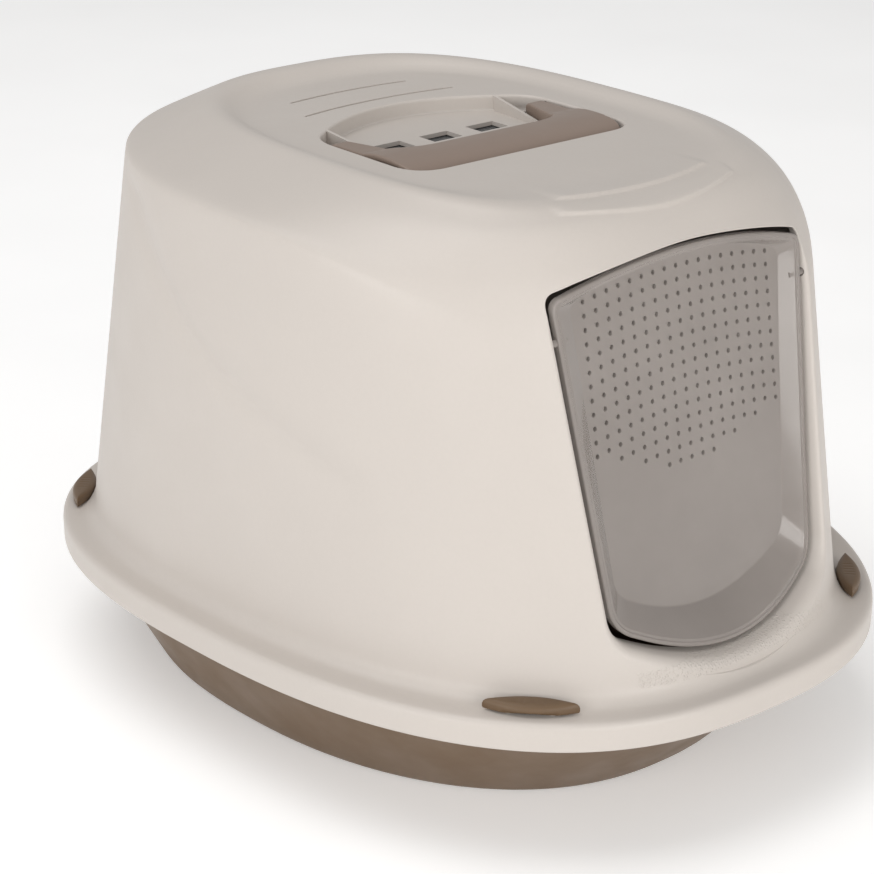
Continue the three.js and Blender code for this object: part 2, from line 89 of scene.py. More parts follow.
FOOT = dict(w=191.5, f=-251, r=251, n=2.55, egg=0.12, z=105)
SECTIONS = (
    FOOT,
    dict(w=183, f=-215, r=213, n=2.35, egg=0.05, dip=7.5, z=(336, 343, 284)),
    dict(w=180, f=-205, r=210, n=2.42, egg=0.05, dip=7.5, z=(339.6, 346, 308)),
    dict(w=174, f=-197, r=205, n=2.5, egg=0.05, dip=7.5, z=(342.5, 348.5, 325)),
    dict(w=150, f=-190, r=191, n=2.62, egg=0.025, bow=18, dip=5, z=(351.2, 355.8, 348)),
    dict(w=127, f=-183, r=178, n=2.75, egg=0, bow=26, dip=4, z=(359.4, 362.4, 352.8)),
    dict(w=122, f=-179, r=172, n=2.75, egg=0, bow=28, dip=2, z=(361, 364, 353.6)),
    dict(w=116.5, f=-172, r=165, n=2.75, egg=0, bow=32, z=(360.4, 363.2, 354.2)),
    dict(w=107, f=-150, r=153, n=2.7, egg=0, bow=40, z=PANEL),
    dict(w=60, f=-70, r=80, n=2.4, egg=0, z=PANEL),
)

# ---------------------------------------------------------------- mesh tools


def make_object(name, verts, faces):
    mesh = bpy.data.meshes.new(name)
    mesh.from_pydata((np.asarray(verts) * MM).tolist(), [], faces)
    mesh.validate()
    mesh.update()
    piece = bpy.data.objects.new(name, mesh)
    bpy.context.scene.collection.objects.link(piece)
    return piece


def loft(name, rings, fan=True):
    """A closed solid through rings of points. Its faces are turned outward by its signed volume."""
    rings = np.asarray(rings, float)
    stacks, sides, _ = rings.shape
    index = np.arange(stacks * sides).reshape(stacks, sides)
    after = np.roll(index, -1, axis=1)
    quads = np.stack([index[:-1], after[:-1], after[1:], index[1:]], axis=-1).reshape(-1, 4)
    verts = rings.reshape(-1, 3)
    faces = quads.tolist()
    if fan:
        low, high = len(verts), len(verts) + 1
        verts = np.vstack([verts, rings[0].mean(0), rings[-1].mean(0)])
        faces += [[low, b, a] for a, b in zip(index[0].tolist(), after[0].tolist())]
        faces += [[high, a, b] for a, b in zip(index[-1].tolist(), after[-1].tolist())]
    else:
        faces.append(index[0][::-1].tolist())
        faces.append(index[-1].tolist())
    a, b, c = (verts[[face[k] for face in faces]] for k in range(3))
    if np.einsum("ij,ij->i", a, np.cross(b, c)).sum() < 0 and fan:
        faces = [face[::-1] for face in faces]
    elif not fan:
        centred = verts - verts.mean(0)
        turned = np.cross(centred[quads[:, 1]], centred[quads[:, 2]])
        if np.einsum("ij,ij->i", centred[quads[:, 0]], turned).sum() < 0:
            faces = [face[::-1] for face in faces]
    return make_object(name, verts, faces)


def block(name, low, high):
    """A solid between four points below and four above, both counter-clockwise from above."""
    return loft(name, [low, high], fan=False)


def box(name, x, y, z, turn=None):
    corners = [(x[0], y[0]), (x[1], y[0]), (x[1], y[1]), (x[0], y[1])]
    piece = block(name, [(a, b, z[0]) for a, b in corners], [(a, b, z[1]) for a, b in corners])
    return placed(piece, turn)


def rod(name, x0, x1, y, z, radius, facets=24, turn=None):
    angles = np.linspace(0, 2 * math.pi, facets, endpoint=False)
    rings = [[(x, y + radius * math.cos(a), z + radius * math.sin(a)) for a in angles] for x in (x0, x1)]
    return placed(loft(name, rings), turn)


def span(side, near, far):
    """A range of X on one side of the middle."""
    return tuple(sorted((side * near, side * far)))


def placed(piece, turn):
    """Puts a piece drawn in a clip's own frame in its place."""
    if turn is not None:
        move = turn.copy()
        move.translation *= MM
        piece.data.transform(move)
    return piece


def joined(name, pieces):
    """Several separate solids in one mesh."""
    verts, faces = [], []
    for piece in pieces:
        start = len(verts)
        verts += [v.co / MM for v in piece.data.vertices]
        faces += [[start + i for i in p.vertices] for p in piece.data.polygons]
        bpy.data.objects.remove(piece)
    return make_object(name, [tuple(v) for v in verts], faces)


def baked(piece):
    """Replaces a piece's mesh by what its modifiers make of it."""
    depsgraph = bpy.context.evaluated_depsgraph_get()
    mesh = bpy.data.meshes.new_from_object(piece.evaluated_get(depsgraph))
    piece.modifiers.clear()
    piece.data = mesh
    return piece


def boolean(piece, operation, *others):
    for other in others:
        step = piece.modifiers.new("boolean", "BOOLEAN")
        step.operation = operation
        step.solver = "MANIFOLD"
        step.object = other
    baked(piece)
    for other in others:
        bpy.data.objects.remove(other)
    return piece


def remeshed(piece, voxel, smooth):
    """Rounds every edge of a small moulding a little."""
    remesh = piece.modifiers.new("remesh", "REMESH")
    remesh.mode = "VOXEL"
    remesh.voxel_size = voxel * MM
    remesh.use_smooth_shade = True
    soften = piece.modifiers.new("smooth", "SMOOTH")
    soften.factor = 0.5
    soften.iterations = smooth
    return baked(piece)


def tree_of(piece):
    mesh = piece.data
    points = [v.co / MM for v in mesh.vertices]
    return BVHTree.FromPolygons(points, [list(p.vertices) for p in mesh.polygons])


def shade(piece, degrees=32, skins=()):
    """Smooth shading with sharp edges above an angle. On faces that lie on one of the skins, the
    normals are the skin's own, so a cut's edge leaves no mark on the surface round it."""
    mesh = piece.data
    mesh.shade_smooth()
    mesh.set_sharp_from_angle(angle=math.radians(degrees))
    if not skins:
        return piece
    normals = np.zeros(len(mesh.loops) * 3, np.float32)
    mesh.corner_normals.foreach_get("vector", normals)
    normals = normals.reshape(-1, 3)
    for skin in skins:
        source = skin.data
        smooth = np.zeros(len(source.vertices) * 3, np.float32)
        source.vertex_normals.foreach_get("vector", smooth)
        smooth = smooth.reshape(-1, 3)
        co = np.array([v.co for v in source.vertices])
        tree = BVHTree.FromPolygons([Vector(c) for c in co], [list(p.vertices) for p in source.polygons])
        loops = [list(p.vertices) for p in source.polygons]
        for face in mesh.polygons:
            spot, facing, index, distance = tree.find_nearest(face.center, 0.0004)
            if spot is None or distance > 0.00006 or facing.dot(face.normal) < 0.97:
                continue
            for corner, vertex in zip(face.loop_indices, face.vertices):
                at, _, near, _ = tree.find_nearest(mesh.vertices[vertex].co, 0.002)
                if at is None:
                    continue
                around = loops[near]
                weights = 1 / (np.linalg.norm(co[around] - np.array(at), axis=1) + 1e-6)
                blended = (smooth[around] * weights[:, None]).sum(0)
                normals[corner] = blended / np.linalg.norm(blended)
    mesh.normals_split_custom_set(normals.tolist())
    return piece


# ---------------------------------------------------------------- the egg-shaped plan


def egg(turns, w, f, r, n, bow=0, dip=0, egg=EGG, z=0):
    """An egg-shaped superellipse: half-width w from f to r, with power n. bow pushes its front out,
    dip lowers its front corners, and z is one height or one each for the side, rear and front."""
    c, s = np.cos(turns), np.sin(turns)
    across = np.sign(c) * np.abs(c) ** (2 / n)
    along = np.sign(s) * np.abs(s) ** (2 / n)
    side, rear, front = z if isinstance(z, tuple) else (z, z, z)
    fore = s < 0
    x = w * across * (1 + egg * along)
    y = (f + r) / 2 + (r - f) / 2 * along + np.where(fore, bow * (1 - across**2) * np.abs(along), 0)
    height = side * c * c + np.where(fore, front, rear) * s * s - np.where(fore, dip * (2 * c * s) ** 2, 0)
    return np.stack([x, y, height], axis=-1)


def inset(spec, distance, lower=0, **changes):
    z = spec.get("z", 0)
    z = tuple(level - lower for level in z) if isinstance(z, tuple) else z - lower
    edges = {"w": spec["w"] - distance, "f": spec["f"] + distance, "r": spec["r"] - distance}
    return {**spec, **edges, "z": z, **changes}


def even_turns(spec, count):
    """Turns whose points are evenly spaced along the outline."""
    fine = np.linspace(0, 2 * math.pi, 7201)
    steps = np.linalg.norm(np.diff(egg(fine, **spec), axis=0), axis=1)
    run = np.concatenate([[0], np.cumsum(steps)])
    return np.interp((np.arange(count) + 0.5) / count * run[-1], run, fine)


TURNS = even_turns({**SECTIONS[3], "z": 0, "dip": 0}, 400)


def flange_ring(distance, z, turns=TURNS):
    return egg(turns, **inset(FLANGE, distance, z=z))


def rounded(rings, radii, bends=6):
    """Rings with each corner of their profile rounded by a curve that starts radius away from it."""
    rows = [rings[0]]
    for before, here, after, radius in zip(rings, rings[1:], rings[2:], radii):
        back, ahead = before - here, after - here
        long_back = np.linalg.norm(back, axis=1, keepdims=True)
        long_ahead = np.linalg.norm(ahead, axis=1, keepdims=True)
        start = here + back / long_back * np.minimum(radius, 0.46 * long_back)
        end = here + ahead / long_ahead * np.minimum(radius, 0.46 * long_ahead)
        for t in np.linspace(0, 1, bends):
            rows.append((1 - t) ** 2 * start + 2 * t * (1 - t) * here + t * t * end)
    rows.append(rings[-1])
    return rows


def spread(rows, step):
    """Adds rows so that neighbours are no further apart than step(row) asks."""
    out = [rows[0]]
    for here, after in zip(rows, rows[1:]):
        gap = np.linalg.norm(after - here, axis=1).max()
        count = max(1, math.ceil(gap / step(here)))
        out += [here + (after - here) * k / count for k in range(1, count + 1)]
    return out


# ---------------------------------------------------------------- the door's sheet


def door_plane(z):
    rise = (z - DOOR_FOOT["z"]) / (DOOR_TOP["z"] - DOOR_FOOT["z"])
    return DOOR_FOOT["y"] + (DOOR_TOP["y"] - DOOR_FOOT["y"]) * rise


def door_y(x, z):
    rise = (z - DOOR_FOOT["z"]) / (DOOR_TOP["z"] - DOOR_FOOT["z"])
    bulge = DOOR_BULGE_FOOT + (DOOR_BULGE_TOP - DOOR_BULGE_FOOT) * rise
    return door_plane(z) - bulge * (1 - (x / DOOR_TOP["half"]) ** 2)


def curve(start, control, end, count):
    t = np.linspace(0, 1, count, endpoint=False)[:, None]
    start, control, end = (np.array(p, float) for p in (start, control, end))
    return (1 - t) ** 2 * start + 2 * t * (1 - t) * control + t * t * end


def line(start, end, count):
    t = np.linspace(0, 1, count, endpoint=False)[:, None]
    return np.array(start, float) * (1 - t) + np.array(end, float) * t


def door_outline(grow=0):
    """The door's outline in X and Z, counter-clockwise as seen from the front."""
    top, low = DOOR_TOP["half"] + grow, DOOR_FOOT["half"] + grow
    top_z, low_z = DOOR_TOP["z"] + grow, DOOR_FOOT["z"] - grow
    tc, lc = 7, 14
    slope = (top - low) / (top_z - low_z)
    right = [
        line((low + slope * lc, low_z + lc), (top - slope * tc, top_z - tc), 60),
        curve((top - slope * tc, top_z - tc), (top, top_z), (top - tc, top_z + 1.6), 10),
        curve((top - tc, top_z + 1.6), (0, top_z + 2 * DOOR_ARCH - 1.6), (tc - top, top_z + 1.6), 72),
        curve((tc - top, top_z + 1.6), (-top, top_z), (slope * tc - top, top_z - tc), 10),
        line((slope * tc - top, top_z - tc), (-low - slope * lc, low_z + lc), 60),
        curve((-low - slope * lc, low_z + lc), (-low, low_z - 1), (lc - low, low_z - 6.5), 14),
        curve((lc - low, low_z - 6.5), (0, low_z - 2 * DOOR_SAG + 6.5), (low - lc, low_z - 6.5), 56),
        curve((low - lc, low_z - 6.5), (low, low_z - 1), (low + slope * lc, low_z + lc), 14),
    ]
    return np.vstack(right)


def normals_2d(outline):
    """Outward normals of a counter-clockwise outline."""
    ahead = np.roll(outline, -1, axis=0) - np.roll(outline, 1, axis=0)
    out = np.stack([ahead[:, 1], -ahead[:, 0]], axis=-1)
    return out / np.linalg.norm(out, axis=1, keepdims=True)


def door_ring(grow=0, behind=0, flat_inset=0, ahead=0):
    """A ring on the door's sheet, behind (+) its middle surface, or ahead along the flared opening."""
    outline = door_outline(grow)
    if flat_inset:
        outline = outline - normals_2d(outline) * flat_inset
    x, z = outline[:, 0], outline[:, 1]
    return np.stack([x * (1 + FLARE * ahead), door_y(x, z) + behind - ahead, z], axis=-1)


def pan_ring(scale, behind):
    outline = door_outline()
    x = outline[:, 0] * PAN_ACROSS * scale
    z = DOOR_MIDDLE + PAN_LIFT + (outline[:, 1] - DOOR_MIDDLE) * PAN_UP * scale
    return np.stack([x, door_plane(z) + behind, z], axis=-1)


# ---------------------------------------------------------------- clips' places


def clip_frame(name):
    turn, distance = CLIP_AT[name.split("_")[0]]
    angle = math.radians(turn)
    here, ahead = egg(np.array([angle, angle + 0.01]), **inset(FLANGE, distance))
    heading = math.atan2(ahead[1] - here[1], ahead[0] - here[0])
    side = -1 if name.endswith("left") else 1
    place = Vector((side * here[0], here[1], FLANGE_TOP + CLIP_LIFT))
    return Matrix.Translation(place) @ Matrix.Rotation(side * heading, 4, "Z")


def lens(grow, z, count=48):
    """The lens-shaped outline of a clip's cap in its own frame, at one height."""
    half = CLIP_LENGTH / 2 + grow
    bulge = CLIP_WIDTH + 2 * grow
    near = curve((-half, 0), (0, -bulge), (half, 0), count)
    outline = np.vstack([near, curve((half, 0), (0, bulge), (-half, 0), count)])
    return np.column_stack([outline, np.full(len(outline), float(z))])


# ---------------------------------------------------------------- the hood


def smoothstep(low, high, value):
    t = np.clip((value - low) / (high - low), 0, 1)
    return t * t * (3 - 2 * t)


def step(run, start, end, height, riser=2.2):
    """A tread that curves up to a height, then a short riser down."""
    climb = np.clip((run - start) / (end - riser - start), 0, 1) ** 1.7
    fall = 1 - smoothstep(end - riser, end, run)
    return height * np.where(run < end - riser, climb, fall) * (run > start)


def front_steps(points):
    """Height of the shallow steps between the top panel and the door's arch."""
    x, y, z = points.T
    across = np.abs(x)
    upper = step(-y + 8 * (x / 55) ** 2, 119, 153, 1.7) * (1 - smoothstep(53, 60, across))
    lower = step(-y + 15 * (x / 65) ** 2, 154, 172.5, 1.5) * (1 - smoothstep(63, 69, across))
    on_top = (y < -100) & (z > 325)
    return np.where(on_top, upper + lower, 0)


CREASE = np.array([
    (128, 352), (110, 330), (84, 308), (60, 284), (29, 257), (-8, 237), (-44, 222), (-79, 211), (-118, 199),
], float)
CREASE_DEPTH, CREASE_WIDTH = 2.6, 9


def side_crease(points):
    """Depth of the soft crease that sweeps down each side."""
    flat = points[:, 1:]
    nearest = np.full(len(points), 1e9)
    for start, end in zip(CREASE, CREASE[1:]):
        along = end - start
        t = np.clip(((flat - start) @ along) / (along @ along), 0, 1)
        nearest = np.minimum(nearest, np.linalg.norm(flat - start - t[:, None] * along, axis=1))
    fade = smoothstep(-118, -70, points[:, 1]) * (1 - smoothstep(322, 336, points[:, 2]))
    depth = CREASE_DEPTH * fade * np.exp(-((nearest / CREASE_WIDTH) ** 2))
    return np.where(np.abs(points[:, 0]) > 140, depth, 0)


def hood_skin():
    """The hood's outside, from the skirt's foot to the middle of the top."""
    keys = [
        flange_ring(0.8, SKIRT_BOTTOM),
        flange_ring(0, SKIRT_BOTTOM + 0.9),
        flange_ring(0, FLANGE_TOP - 0.3),
        egg(TURNS, **inset(FOOT, -0.7, z=FLANGE_TOP)),
        *(egg(TURNS, **spec) for spec in SECTIONS[1:]),
    ]
    radii = (0.8, 4.5, 10, 9, 8, 8, 12, 5, 3, 4, 6)
    rows = rounded(keys, radii)

    def row_step(row):
        height = row[:, 2].max()
        if height < 110:
            return 3.5
        if height < 338:
            return 4
        return 1.4 if row[:, 0].max() > 100 else 3

    rows = np.array(spread(rows, row_step))
    high = rows[:, :, 2].max(axis=1) > 300
    for _ in range(3):
        eased = rows.copy()
        eased[1:-1] = 0.25 * rows[:-2] + 0.5 * rows[1:-1] + 0.25 * rows[2:]
        rows[high] = eased[high]
    return loft("hood_skin", rows)


def carved(skin):
    """Presses the steps and the creases into the skin."""
    mesh = skin.data
    points = np.array([v.co for v in mesh.vertices]) / MM
    normals = np.zeros(len(points) * 3, np.float32)
    mesh.vertex_normals.foreach_get("vector", normals)
    height = front_steps(points) - side_crease(points)
    moved = (points + normals.reshape(-1, 3) * height[:, None]) * MM
    mesh.vertices.foreach_set("co", moved.astype(np.float32).ravel())
    mesh.update()
    return skin


def hood_hollow():
    """The space inside the hood, one wall thickness in from the skin."""
    specs = [inset(spec, SHELL, SHELL) for spec in SECTIONS]
    keys = [
        flange_ring(SHELL, SKIRT_BOTTOM - 10),
        flange_ring(SHELL, FLANGE_TOP - SHELL),
        egg(TURNS, **inset(FOOT, SHELL + 1, z=FLANGE_TOP - SHELL)),
        *(egg(TURNS, **spec) for spec in specs),
    ]
    radii = (2, 3, 4, 9, 8, 8, 12, 5, 3, 4, 6)
    return loft("hood_hollow", spread(rounded(keys, radii, 4), lambda row: 9))


def lipped(name, rings, start, direction, outward, lip, skin_tree):
    """A cutter that leaves the skin through a rounded lip: rings inside, then the lip, then beyond."""
    count = len(start)
    hit, facing = np.zeros((count, 3)), np.zeros((count, 3))
    for i in range(count):
        spot, normal, _, _ = skin_tree.ray_cast(Vector(start[i] - direction[i] * 12), Vector(direction[i]))
        hit[i], facing[i] = spot, normal
    facing *= np.sign(np.einsum("ij,ij->i", facing, direction))[:, None]
    away = outward - facing * np.einsum("ij,ij->i", outward, facing)[:, None]
    away /= np.linalg.norm(away, axis=1, keepdims=True)
    reach = np.einsum("ij,ij->i", hit - start, direction)
    lip = np.minimum(lip, np.maximum(0.75 * reach, 0.9))
    rings.append(start + direction * np.minimum(0, reach - lip - 0.4)[:, None])
    lip = lip[:, None]
    begin, end = hit - direction * lip, hit + away * lip + facing * 0.12
    for t in np.linspace(0, 1, 8):
        rings.append((1 - t) ** 2 * begin + 2 * t * (1 - t) * hit + t * t * end)
    rings.append(hit + away * (lip + 1.5) + facing * 4)
    rings.append(hit + away * (lip + 1.5) + facing * 4 + direction * 45)
    return loft(name, rings)


def door_cutter(skin_tree):
    outline = door_outline(DOOR_GAP)
    flat = normals_2d(outline)
    outward = np.column_stack([flat[:, 0], np.zeros(len(flat)), flat[:, 1]])
    start = door_ring(DOOR_GAP)
    ahead, level = np.full(len(outline), -1.0), np.zeros(len(outline))
    direction = np.stack([outline[:, 0] * FLARE, ahead, level], axis=-1)
    direction /= np.linalg.norm(direction, axis=1, keepdims=True)
    lip = 3.2 + 4.5 * np.clip(-flat[:, 1], 0, 1) - 1.8 * np.clip(flat[:, 1], 0, 1)
    rings = [door_ring(DOOR_GAP, REVEAL_BACK + 40), door_ring(DOOR_GAP, REVEAL_BACK)]
    return lipped("door_cutter", rings, start, direction, outward, lip, skin_tree)


def pocket_outline(grow=0):
    half, front, side, rear = POCKET["half"], POCKET["front"], POCKET["side"], POCKET["rear"]
    corner, edge, shoulder = 22, half + grow, side + 28
    crown = 2 * rear - shoulder + grow
    parts = [
        line((-edge, side), (-edge, front + corner), 24),
        curve((-edge, front + corner), (-edge, front - grow), (corner - half, front - grow), 18),
        line((corner - half, front - grow), (half - corner, front - grow), 50),
        curve((half - corner, front - grow), (edge, front - grow), (edge, front + corner), 18),
        line((edge, front + corner), (edge, side), 24),
        curve((edge, side), (edge, side + 20), (half - 13, shoulder + grow), 12),
        curve((half - 13, shoulder + grow), (0, crown), (13 - half, shoulder + grow), 60),
        curve((13 - half, shoulder + grow), (-edge, side + 20), (-edge, side), 12),
    ]
    return np.vstack(parts)


def pocket_ring(z, offset=0, grow=0):
    outline = pocket_outline(grow)
    outline = outline + normals_2d(outline) * offset
    return np.column_stack([outline, np.full(len(outline), float(z))])


def pocket_cutter(skin_tree):
    floor = POCKET["floor"]
    flat = normals_2d(pocket_outline())
    outward = np.column_stack([flat, np.zeros(len(flat))])
    rings = [pocket_ring(floor, -2.4), pocket_ring(floor + 0.3, -1.1), pocket_ring(floor + 1.1, -0.3)]
    start = pocket_ring(floor + 2.4)
    up = np.tile([0.0, 0.0, 1.0], (len(start), 1))
    return lipped("pocket_cutter", rings, start, up, outward, np.full(len(start), 2.0), skin_tree)


def rib(side):
    """An upright rib beside the handle's arm, lower at its front end."""
    (rear_x, rear_y, rear_top), (front_x, front_y, front_top) = RIB["rear"], RIB["front"]
    half, foot = RIB["half"], POCKET["floor"] - 1

    def quad(z_front, z_rear):
        corners = [(front_x - half, front_y, z_front), (front_x + half, front_y, z_front),
                   (rear_x + half, rear_y, z_rear), (rear_x - half, rear_y, z_rear)]
        return [(side * x, y, z) for x, y, z in corners][::side]

    return block("rib", quad(foot, foot), quad(front_top, rear_top))


def rail(side):
    """One rail for the filter holder: an upright web with a shelf along its foot."""
    x, y, z, thick, ledge = (RAIL[k] for k in ("x", "y", "z", "thickness", "ledge"))
    web = box("web", span(side, x - thick, x), y, (z - thick, POCKET["floor"] - 1))
    shelf = box("shelf", span(side, x - thick - ledge, x), y, (z - thick, z))
    return web, shelf


GROOVE_RADIUS, GROOVE_DROP = 1.3, 0.5


def groove(name, half, middle, end, skin_tree):
    """A thin curved groove across the rear of the top."""
    x = np.linspace(-half, half, 61)
    y = middle + (end - middle) * (x / half) ** 2
    centres = []
    for a, b in zip(x, y):
        spot, _, _, _ = skin_tree.ray_cast(Vector((a, b, 420)), Vector((0, 0, -1)))
        centres.append((a, b, spot.z - GROOVE_DROP))
    centres = np.array(centres)
    angles = np.linspace(0, 2 * math.pi, 20, endpoint=False)
    taper = np.sqrt(np.clip(1 - (np.abs(x) / half) ** 24, 0.02, 1))
    rings = []
    for (cx, cy, cz), t in zip(centres, taper):
        reach = GROOVE_RADIUS * t
        rings.append([(cx, cy + reach * math.cos(a), cz + reach * math.sin(a)) for a in angles])
    return loft(name, rings)


def clip_cutters(name):
    turn = clip_frame(name)
    recess = placed(loft("recess", [lens(0.7, -0.5), lens(0.7, 3), lens(1.2, 16)]), turn)
    slot = box("slot", (-CLIP_SLOT_HALF, CLIP_SLOT_HALF), (2.7, 7.6), (-CLIP_LIFT - SHELL - 1, 6), turn)
    return recess, slot


def clip_eyes(name):
    turn = clip_frame(name)
    eyes = []
    for x0, x1 in ((-13.1, -10.8), (10.8, 13.1)):
        eyes.append(box("post", (x0, x1), (-2.8, 0.5), (-CLIP_LIFT - 1.5, 1.9), turn))
        eyes.append(rod("eye", x0, x1, *CLIP_PIN_AXIS, 2.1, 20, turn))
    return eyes


def make_hood():
    """The hood: skin less hollow, a collar behind the door opening, and a tub under the handle."""
    skin = carved(hood_skin())
    skin_tree = tree_of(skin)
    hollow = hood_hollow()
    hood = bpy.data.objects.new("hood_shell", skin.data.copy())
    bpy.context.scene.collection.objects.link(hood)

    collar = loft("collar", [door_ring(DOOR_GAP + REVEAL, REVEAL_BACK), door_ring(DOOR_GAP + REVEAL),
                             *(door_ring(DOOR_GAP + REVEAL, 0, 0, a) for a in (10, 25, 44))])
    wall = POCKET_WALL
    tub = loft("tub", [pocket_ring(POCKET["floor"] - wall, 0, wall), pocket_ring(PANEL + 3, 0, wall)])
    for part in (collar, tub):
        inner = bpy.data.objects.new("inner", skin.data.copy())
        bpy.context.scene.collection.objects.link(inner)
        boolean(part, "INTERSECT", inner)
    inner_skin = bpy.data.objects.new("hollow_skin", hollow.data.copy())
    bpy.context.scene.collection.objects.link(inner_skin)
    boolean(hood, "DIFFERENCE", hollow)
    boolean(hood, "UNION", collar, tub)
    boolean(hood, "DIFFERENCE", door_cutter(skin_tree), pocket_cutter(skin_tree),
            groove("groove", 47, 121.5, 117.5, skin_tree), groove("groove", 60, 91.5, 85, skin_tree))
    boolean(hood, "UNION", rib(-1), rib(1), *rail(-1), *rail(1))

    cutters = []
    for name in CLIP_NAMES:
        recess, slot = clip_cutters(name)
        boolean(hood, "DIFFERENCE", recess)
        cutters.append(slot)
        boolean(hood, "UNION", *clip_eyes(name))
    floor = (POCKET["floor"] - 6, POCKET["floor"] + 3)
    for x in VENT["places"]:
        cutters.append(box("vent", (x - VENT["half"], x + VENT["half"]), VENT["y"], floor))
    for side in (-1, 1):
        cutters.append(box("well", span(side, *WELL["x"]), WELL["y"], floor))
        cutters.append(rod("door_hole", *span(side, 80, 101.8), *DOOR_AXIS, 2.8))
        cutters.append(rod("handle_hole", *span(side, 81, 87.6), *HANDLE_AXIS, 3.1))
    boolean(hood, "DIFFERENCE", joined("cutters", cutters))
    shade(hood, 32, (skin, inner_skin))
    bpy.data.objects.remove(skin)
    bpy.data.objects.remove(inner_skin)
    return hood


# ---------------------------------------------------------------- the tray


def make_tray():
    """The tray: a lofted basin whose rim is hidden under the hood's flange."""
    rim = LIP_TOP - LIP_THICKNESS

    def floor(distance, z):
        return egg(TURNS, **inset(TRAY_FLOOR, distance, z=z))

    foot = [floor(60, 0.6), floor(58, 0), floor(-0.6, 0)]
    lip = [flange_ring(10.5, rim), flange_ring(5.5, rim), flange_ring(5.5, LIP_TOP), flange_ring(40, LIP_TOP)]
    outside = rounded(foot + lip, (1, 7, 2.5, 0.8, 1.2, 1))
    floor_inside = [floor(60, 2.8), floor(3.2, 2.8)]
    mouth = [flange_ring(13.3, rim), flange_ring(26, rim), flange_ring(26, LIP_TOP + 1)]
    hollow = rounded(floor_inside + mouth, (8, 2, 0.8, 0.8))
    tray = loft("tray_basin", spread(outside, lambda row: 12))
    inner = loft("hollow", spread(hollow, lambda row: 12))
    width = (-CLIP_SLOT_HALF, CLIP_SLOT_HALF)
    slots = [box("slot", width, (2.7, 8.6), (-9, 0), clip_frame(name)) for name in CLIP_NAMES]
    boolean(tray, "DIFFERENCE", inner, joined("slots", slots))
    return shade(tray, 35)


# ---------------------------------------------------------------- the flap

HOLE_PITCH_X, HOLE_PITCH_Z = 8.85, 7.75
HOLE_TOP, HOLE_ARCH = 303.8, 10.5
HOLE_STRETCH = 1.12


def flap_holes():
    """The rows of air holes: arched like the door's top, and fewer towards its sides."""
    pegs = []
    angles = np.linspace(0, 2 * math.pi, 12, endpoint=False)
    for column in range(-8, 9):
        x = column * HOLE_PITCH_X
        arch = HOLE_ARCH * (1 - (x / DOOR_TOP["half"]) ** 2)
        for row in range(round(15.4 - 0.42 * abs(column))):
            z = HOLE_TOP + arch - row * HOLE_PITCH_Z
            y = door_plane(z) + PAN_BEHIND
            rings = []
            for depth, radius in ((-1.5, 1.45), (-0.1, 1.36), (0.35, 1.2), (PAN_THICKNESS + 1, 1.2)):
                tall = HOLE_STRETCH * radius
                rings.append([(x + radius * math.cos(a), y + depth, z + tall * math.sin(a)) for a in angles])
            pegs.append(loft("peg", rings))
    return joined("pegs", pegs)


def make_flap():
    """The flap: a bowed border round a flat sunk pan, with air holes and two pins."""
    half = DOOR_BORDER / 2
    back = PAN_BEHIND + PAN_THICKNESS
    scales = (0.12, 0.3, 0.5, 0.7, 0.85)
    keys = [
        *(pan_ring(s, back) for s in scales),
        pan_ring(1.02, back),
        door_ring(0, half, 1.2),
        door_ring(0, half, 0.25),
        door_ring(0, half - 0.3),
        door_ring(0, 0.5 - half),
        door_ring(0, -half, 0.5),
        door_ring(0, -half, 2.3),
        door_ring(0, 0.9 - half, 2.8),
        door_ring(0, 0.9 - half, 4.2),
        pan_ring(1, PAN_BEHIND),
        *(pan_ring(s, PAN_BEHIND) for s in scales[::-1]),
    ]
    radii = [1, 1, 1, 1, 1, 2, 0.5, 0.15, 0.15, 0.3, 0.3, 0.4, 0.4, 0.9, 1.6, 1, 1, 1, 1]
    flap = loft("flap", rounded(keys, radii, 4))
    boolean(flap, "DIFFERENCE", flap_holes())
    pins = []
    for side in (-1, 1):
        pins.append(rod("pin", *span(side, 86.2, 101.2), *DOOR_AXIS, 2.3))
    boolean(flap, "UNION", *pins)
    return shade(flap, 30)


# ---------------------------------------------------------------- the handle


